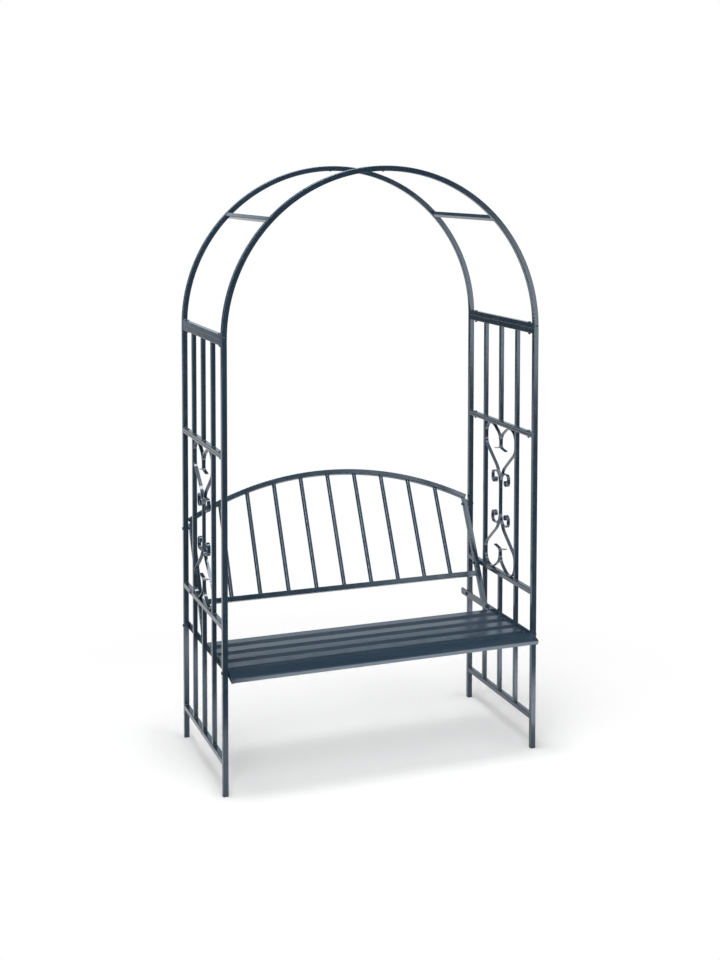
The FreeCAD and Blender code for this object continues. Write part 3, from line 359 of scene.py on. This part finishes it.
# heights from here on are up the slope, from the foot bolts of the uprights
back_low_rail = (0.121, 0.139)
half_tube = 0.009
half_span = 0.533
upright_face = 0.524
crown_rise = 0.136
crown_height = 0.56609
top_radius = (half_span**2 + crown_rise**2) / (2 * crown_rise)
top_centre = crown_height - top_radius
rod_pitch = 0.10504
rod_foot = 0.1393


def below_top_rail(across):
    """How far up the slope the top rail's underside is, at a distance from the middle."""
    return top_centre + math.sqrt((top_radius - half_tube) ** 2 - across**2)


deselect_all()
bpy.ops.mesh.primitive_torus_add(major_segments=20, minor_segments=6,
                                 major_radius=0.0078, minor_radius=0.0015)
collar = bpy.context.object
bpy.ops.object.mode_set(mode="EDIT")
bpy.ops.mesh.select_all(action="SELECT")
bpy.ops.transform.vertex_random(offset=0.00025, seed=4)
bpy.ops.object.mode_set(mode="OBJECT")
bpy.ops.object.shade_smooth()
spots = []
for step in range(-4, 5):
    across = step * rod_pitch
    slant = turned("Y", math.degrees(math.asin(across / top_radius)))
    spots.append((back_plane @ Vector((across, 0, rod_foot)), lean))
    spots.append((back_plane @ Vector((across, 0, below_top_rail(across))), lean @ slant))
set_out(collar, "spindle_welds", spots, weld_coat)
spots = []
for sign in (-1, 1):
    for up in (*back_low_rail, below_top_rail(upright_face)):
        spots.append((back_plane @ Vector((sign * upright_face, 0, up)), lean @ turned("Z", 90)))
set_out(bead, "backrest_welds", spots, weld_coat)

# Bolts. Dome head bolts with a hexagon socket, threaded at the end that stands out of the
# nut. They are coated to match the frame, a little duller than the tubes.

same_place = 0.00001


def select_points(piece, is_wanted):
    """Selects the points of a piece in edit mode that pass a test of their place."""
    bpy.ops.mesh.select_all(action="DESELECT")
    shape = bmesh.from_edit_mesh(piece.data)
    for point in shape.verts:
        point.select = is_wanted(point.co)
    shape.select_flush(True)
    bmesh.update_edit_mesh(piece.data)


def push_ring(piece, radius, height, rounded=True):
    """Pushes a new ring out of the selected one, to a radius and a height."""
    bpy.ops.mesh.extrude_region_move()
    if rounded:
        bpy.ops.transform.tosphere(value=1, center_override=(0, 0, height))
    shape = bmesh.from_edit_mesh(piece.data)
    ring = [point.co for point in shape.verts if point.select]
    now_high = sum(point.z for point in ring) / len(ring)
    now_wide = max(math.hypot(point.x, point.y) for point in ring)
    bpy.ops.transform.translate(value=(0, 0, height - now_high))
    ratio = radius / now_wide
    bpy.ops.transform.resize(value=(ratio, ratio, 1), center_override=(0, 0, height))


def hexagon_ring(corner_radius, height):
    """A hexagon outline with three points on each side, ready to be pushed out."""
    deselect_all()
    bpy.ops.mesh.primitive_circle_add(vertices=6, radius=corner_radius, fill_type="NOTHING",
                                      location=(0, 0, height))
    outline = bpy.context.object
    bpy.ops.object.transform_apply(location=True, rotation=True, scale=True)
    bpy.ops.object.mode_set(mode="EDIT")
    bpy.ops.mesh.select_all(action="SELECT")
    bpy.ops.mesh.subdivide(number_cuts=3)
    return outline


def close_shell(piece, smooth_degrees):
    """Merges doubles, turns all faces outwards and smooths them up to an angle."""
    bpy.ops.mesh.select_all(action="SELECT")
    bpy.ops.mesh.remove_doubles(threshold=same_place)
    bpy.ops.mesh.normals_make_consistent(inside=False)
    bpy.ops.object.mode_set(mode="OBJECT")
    bpy.ops.object.shade_smooth_by_angle(angle=math.radians(smooth_degrees))


def dome_bolt(head_radius, head_height, socket_radius, shank_radius, shank_length):
    """A bolt along Z: the head's underside at zero, the shank going down."""
    rim_height = head_height - 0.0002
    thread_start = 0.003 - shank_length
    groove_pitch = 0.0007
    bolt = hexagon_ring(socket_radius, rim_height)
    push_ring(bolt, 0.62 * head_radius, head_height - 0.0003)
    for radius, height in ((0.82, 0.72), (0.95, 0.45), (1.0, 0.20), (0.98, 0.0)):
        push_ring(bolt, radius * head_radius, height * head_height)
    push_ring(bolt, shank_radius, 0.0)
    push_ring(bolt, shank_radius, thread_start)
    for groove in range(4):
        push_ring(bolt, 0.86 * shank_radius, thread_start - (groove + 0.5) * groove_pitch)
        push_ring(bolt, shank_radius, thread_start - (groove + 1) * groove_pitch)
    push_ring(bolt, 0.8 * shank_radius, -shank_length)
    bpy.ops.mesh.edge_face_add()
    select_points(bolt, lambda point: point.z > rim_height - same_place
                  and math.hypot(point.x, point.y) < socket_radius + same_place)
    bpy.ops.mesh.extrude_region_move(
        TRANSFORM_OT_translate={"value": (0, 0, -0.55 * head_height)})
    bpy.ops.mesh.edge_face_add()
    close_shell(bolt, smooth_degrees=35)
    return bolt


fastener_coat = powder_coat("fastener_powder_coat", slate, slate_worn, roughness=0.26, skin=0.05)
shank_past_grip = 0.007
nut_spots = []


def bolts_at(name, grips_and_heads):
    """Bolts for one CAD node: each grip with the (place, turn) of its heads. Notes the nuts."""
    made = []
    for number, (grip, heads) in enumerate(grips_and_heads):
        pattern = dome_bolt(head_radius=0.006, head_height=0.0036, socket_radius=0.0023,
                            shank_radius=0.003, shank_length=grip + shank_past_grip)
        made.append(set_out(pattern, f"{name}_{number}", heads, fastener_coat))
        bpy.data.objects.remove(pattern)
        for place, turn in heads:
            nut_spots.append((place - (turn @ Vector((0, 0, grip))), turn))
    deselect_all()
    for piece in made:
        piece.select_set(True)
    bpy.context.view_layer.objects.active = made[0]
    if len(made) > 1:
        bpy.ops.object.join()
    made[0].name = f"{name}_detailed"
    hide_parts(name)


facing = {"left": turned("Y", -90), "right": turned("Y", 90)}
post_outer_face = 0.564
post_middle = 0.279
seat_rail_outer = 0.546
frame_bolt_y = 0.232
back_rail_bolt_z = 0.558
back_slope = math.tan(math.radians(back_tilt))
back_rail_bolt_y = foot_bolt_y + (back_rail_bolt_z - seat_rail_middle) * back_slope
back_post_bolt_z = seat_rail_middle + (post_middle - foot_bolt_y) / back_slope
joint_heads = []
arch_heads = []
seat_heads = []
foot_heads = []
back_heads = []
for side in sides:
    sign = -1 if side == "left" else 1
    outer = sign * post_outer_face
    for end in (-1, 1):
        joint_heads.append((Vector((side_x[side], end * frame_bolt_y, joint_rails[1])), as_laid))
        arch_heads.append((Vector((side_x[side], end * frame_bolt_y, top_rails[1])), as_laid))
        seat_heads.append((Vector((outer, end * post_middle, seat_rail_middle)), facing[side]))
    foot_place = Vector((sign * seat_rail_outer, foot_bolt_y, seat_rail_middle))
    foot_heads.append((foot_place, facing[side]))
    back_heads.append((Vector((outer, back_rail_bolt_y, back_rail_bolt_z)), facing[side]))
    back_heads.append((Vector((outer, post_middle, back_post_bolt_z)), facing[side]))
# each grip is the length from under the head to the nut
bolts_at("frame_bolts", [(0.018, joint_heads), (0.036, arch_heads)])
bolts_at("seat_bolts", [(0.022, seat_heads), (0.0064, foot_heads)])
bolts_at("back_bolts", [(0.040, back_heads)])

# Lock nuts. Hexagon nuts with chamfered corners and a round collar that holds the nylon
# ring, one on each bolt.

nut_corner = 0.00577
nut_chamfer = -0.0005
nut_bore = 0.0031
bore_end = -0.0048
nut = hexagon_ring(nut_corner, nut_chamfer)
push_ring(nut, nut_corner, -0.0031, rounded=False)
for radius, height in ((0.0048, -0.0036), (0.0043, -0.0038), (0.0042, -0.0047), (0.0038, -0.0050)):
    push_ring(nut, radius, height)
push_ring(nut, nut_bore, bore_end)
select_points(nut, lambda point: abs(point.z - nut_chamfer) < same_place)
push_ring(nut, 0.0049, 0.0)
push_ring(nut, nut_bore, 0.0)
push_ring(nut, nut_bore, bore_end)
close_shell(nut, smooth_degrees=35)
nuts = set_out(nut, "lock_nuts_detailed", nut_spots, fastener_coat)
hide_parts("lock_nuts")

# Arch screws and backrest spacers. Small pan head screws with a recess pressed into the
# head hold each hoop on its spigots and sleeve. Short turned spacers fill the gap beside
# the uprights.


def pan_screw(head_radius, head_height, shank_radius, shank_length):
    """A pan head screw along Z, with a tapering recess pressed into its head."""
    deselect_all()
    bpy.ops.mesh.primitive_circle_add(vertices=24, radius=0.30 * head_radius, fill_type="NGON",
                                      location=(0, 0, head_height))
    screw = bpy.context.object
    bpy.ops.object.transform_apply(location=True, rotation=True, scale=True)
    bpy.ops.object.mode_set(mode="EDIT")
    bpy.ops.mesh.select_all(action="SELECT")
    bpy.ops.mesh.delete(type="ONLY_FACE")
    bpy.ops.mesh.select_all(action="SELECT")
    for radius, height in ((0.62, 0.97), (0.85, 0.80), (0.97, 0.50), (1.0, 0.20), (0.98, 0.0)):
        push_ring(screw, radius * head_radius, height * head_height)
    push_ring(screw, shank_radius, 0.0)
    push_ring(screw, shank_radius, -0.8 * shank_length)
    push_ring(screw, 0.3 * shank_radius, -shank_length)
    bpy.ops.mesh.edge_face_add()
    select_points(screw, lambda point: point.z > 0.99 * head_height)
    push_ring(screw, 0.22 * head_radius, 0.75 * head_height)
    push_ring(screw, 0.06 * head_radius, 0.35 * head_height)
    bpy.ops.mesh.edge_face_add()
    close_shell(screw, smooth_degrees=40)
    return screw


screw_head = 0.004
screw = pan_screw(head_radius=screw_head, head_height=0.0022,
                  shank_radius=0.002, shank_length=0.007)
leg_outer_face = 0.288
leg_screw_z = 1.502
apex_screw_x = -0.012
apex_screw_edge = apex_screw_x - screw_head
apex_underside = arch_foot + math.sqrt((arch_radius - half_tube) ** 2 - apex_screw_edge**2)
spots = []
for side in sides:
    for end in (-1, 1):
        place = Vector((side_x[side], end * leg_outer_face, leg_screw_z))
        spots.append((place, turned("X", -90 * end)))
for end in (-1, 1):
    spots.append((Vector((apex_screw_x, end * post_middle, apex_underside)), turned("X", 180)))
screws = set_out(screw, "arch_screws_detailed", spots, fastener_coat)
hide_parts("arch_screws")
dress(fastener_coat, "back_spacers")

# Spigots and sleeves. Inner tubes that join the posts and the arch, out of sight once the
# arbour stands. They carry the same coat, rubbed by the tubes that slide over them.

slate_scraped = (0.10, 0.12, 0.14)
spigot_coat = powder_coat("spigot_powder_coat", slate_worn, slate_scraped, roughness=0.38)
dress(spigot_coat, "post_spigots", "arch_spigots", "apex_sleeves")

# Foot plugs. Moulded plastic caps pushed into the ends of the four posts. They are matt
# black, with the fine grain of the mould, and a little dusty near the ground.

plug_finish = Finish("foot_plug_plastic")
plug_black = (0.012, 0.014, 0.018, 1)
dust_grey = (0.06, 0.06, 0.06, 1)
dust_height = 0.005
place = plug_finish.add("ShaderNodeTexCoord", output="Object")
height = plug_finish.add("ShaderNodeSeparateXYZ", None, {0: place}, "Z")
specks = plug_finish.noise(place, per_metre=300)
dust = plug_finish.ramp(height * (1 / dust_height) + specks * 0.8, [(0.2, 1), (0.9, 0)])
grain = plug_finish.noise(place, per_metre=1800, detail=2)
colour = plug_finish.add("ShaderNodeMix", {"data_type": "RGBA"},
                         {"Factor": dust * 0.5, "A": plug_black, "B": dust_grey})
bump = plug_finish.add("ShaderNodeBump", None,
                       {"Strength": 0.3, "Distance": 0.0002, "Height": grain})
shader = plug_finish.add("ShaderNodeBsdfPrincipled", None,
                         {"Base Color": colour, "Roughness": 0.55 + dust * 0.2, "Normal": bump})
plug_finish.add("ShaderNodeOutputMaterial", None, {"Surface": shader})
dress(plug_finish.holder, "foot_plugs")

for pattern in (bead, tack, collar, nut, screw):
    bpy.data.objects.remove(pattern)

# Studio. A pale floor in a white surround, with a wide soft box overhead for the shadow,
# smaller ones to both sides of the camera and a low one before the seat. Dark and lit
# cards stand round them, and only show in the shine of the coat.


def seen_share(finish):
    """1 for rays of the camera, of gloss and of glass, and 0 for the light itself."""
    rays = [finish.add("ShaderNodeLightPath", output=f"Is {kind} Ray")
            for kind in ("Camera", "Glossy", "Transmission")]
    return rays[0] + rays[1] + rays[2]


deselect_all()
bpy.ops.mesh.primitive_plane_add(size=80)
floor = bpy.context.object
floor.name = "studio_floor"
white = (1, 1, 1, 1)
floor_grey = (0.90, 0.90, 0.90, 1)
floor_lift = 0.11
ramp_span = 5
floor_finish = Finish("studio_floor")
seen = seen_share(floor_finish)
place = floor_finish.add("ShaderNodeTexCoord", output="Object")
reach = floor_finish.add("ShaderNodeVectorMath", {"operation": "LENGTH"}, {0: place}, "Value")
far = floor_finish.ramp(reach * (1 / ramp_span), [(0.15, 0), (0.34, 1)])
matt = floor_finish.add("ShaderNodeBsdfDiffuse", None, {"Color": floor_grey})
glow = floor_finish.add("ShaderNodeEmission", None, {"Color": white, "Strength": 1.0})
lift = floor_finish.add("ShaderNodeEmission", None, {"Color": white, "Strength": seen * floor_lift})
near = floor_finish.add("ShaderNodeAddShader", None, {0: matt, 1: lift})
mixed = floor_finish.add("ShaderNodeMixShader", None, {0: far * seen, 1: near, 2: glow})
floor_finish.add("ShaderNodeOutputMaterial", None, {"Surface": mixed})
floor.data.materials.append(floor_finish.holder)

surround = Finish("white_surround", "worlds")
room_light = 0.25
sky_strength = seen_share(surround) * (1 - room_light) + room_light
sky = surround.add("ShaderNodeBackground", None, {"Color": white, "Strength": sky_strength})
surround.add("ShaderNodeOutputWorld", None, {"Surface": sky})
bpy.context.scene.world = surround.holder


def soft_box(name, place, aim, width, height, watts):
    """A rectangular soft lamp at a place, turned to face a point."""
    lamp_data = bpy.data.lights.new(name, "AREA")
    lamp_data.shape = "RECTANGLE"
    lamp_data.size = width
    lamp_data.size_y = height
    lamp_data.energy = watts
    lamp = bpy.data.objects.new(name, lamp_data)
    bpy.context.collection.objects.link(lamp)
    lamp.location = place
    lamp.rotation_euler = (Vector(aim) - Vector(place)).to_track_quat("-Z", "Y").to_euler()
    lamp.visible_camera = False


soft_box("tall_box", place=(2.1, -3.0, 1.3), aim=(0.5, 0.0, 1.3),
         width=1.2, height=0.9, watts=10)
soft_box("high_box", place=(2.6, -3.0, 3.9), aim=(0.1, 0.1, 0.7),
         width=1.6, height=1.4, watts=20)
soft_box("narrow_box", place=(-1.75, -2.8, 1.6), aim=(-0.1, 0.0, 1.1),
         width=0.4, height=2.4, watts=26)
soft_box("low_box", place=(0.52, -0.68, 0.02), aim=(0.52, -0.67, 1.0),
         width=1.76, height=0.46, watts=5.1)
soft_box("top_box", place=(-0.5, -0.5, 5.4), aim=(0.0, 0.0, 0.0),
         width=2.6, height=2.2, watts=240)

black_card = Finish("black_card")
card_matt = black_card.add("ShaderNodeBsdfDiffuse", None, {"Color": (0.02, 0.02, 0.02, 1)})
black_card.add("ShaderNodeOutputMaterial", None, {"Surface": card_matt})


def lit_card(name, strength):
    """A card that shines a cool white by itself."""
    finish = Finish(name)
    shine = finish.add("ShaderNodeEmission", None,
                       {"Color": (0.80, 0.91, 1.0, 1), "Strength": strength})
    finish.add("ShaderNodeOutputMaterial", None, {"Surface": shine})
    return finish


def flag(name, card_finish, place, width, height, turn):
    """A dark or lit card that only the shine of the coat picks up."""
    deselect_all()
    bpy.ops.mesh.primitive_plane_add(size=1, location=place,
                                     rotation=[math.radians(angle) for angle in turn])
    card = bpy.context.object
    card.name = name
    card.scale = (width, height, 1)
    card.data.materials.append(card_finish.holder)
    card.visible_camera = False
    card.visible_diffuse = False
    card.visible_transmission = False
    card.visible_shadow = False


grey_card = lit_card("grey_card", strength=0.6)
pale_card = lit_card("pale_card", strength=0.9)
bright_card = lit_card("bright_card", strength=5)
line_card = lit_card("line_card", strength=22)
lying = (0, 0, 0)
standing_along = (0, 90, 0)
standing_across = (90, 0, 0)
flag("left_flag", black_card, place=(-3.2, 2.1, 2.5),
     width=5, height=16.2, turn=standing_along)
flag("right_flag", black_card, place=(3.8, -1.0, 2.5),
     width=5, height=10, turn=standing_along)
flag("far_left_card", grey_card, place=(-5.0, 11.0, 2.5),
     width=7.5, height=5, turn=standing_across)
flag("far_right_card", pale_card, place=(4.0, 11.0, 3.0),
     width=10.4, height=6, turn=standing_across)
flag("front_left_card", bright_card, place=(-3.3, -2.4, 2.4),
     width=2.6, height=4.4, turn=(90, 0, -54))
flag("high_left_card", line_card, place=(-2.3, -3.2, 4.0),
     width=0.5, height=1.6, turn=(50, 0, -36))
flag("front_flag", black_card, place=(0.1, -4.3, 3.25),
     width=6.8, height=6.5, turn=standing_across)
flag("rear_top_flag", black_card, place=(0.0, 5.5, 5.0),
     width=10, height=10, turn=lying)
flag("floor_flag", black_card, place=(0.0, -2.6, 0.004),
     width=8, height=3.4, turn=lying)

# Camera, where the photograph was taken from: ahead and to the left of the bench, about
# two metres up, with the frame moved down and to the left of the line of sight.

camera_data = bpy.data.cameras.new("camera")
camera = bpy.data.objects.new("camera", camera_data)
bpy.context.collection.objects.link(camera)
camera_data.sensor_width = 36
camera_data.lens = 56.205
camera_data.shift_x = -0.0909
camera_data.shift_y = -0.2270
camera_data.clip_end = 200
stand = Matrix.Translation((-1.74066, -4.96218, 2.02737))
turn_right = turned("Z", -22.723)
tip_down = turned("X", 90 - 3.347)
roll = turned("Z", 0.267)
camera.matrix_world = stand @ turn_right @ tip_down @ roll
bpy.context.scene.camera = camera
bpy.context.scene.view_settings.view_transform = "Standard"
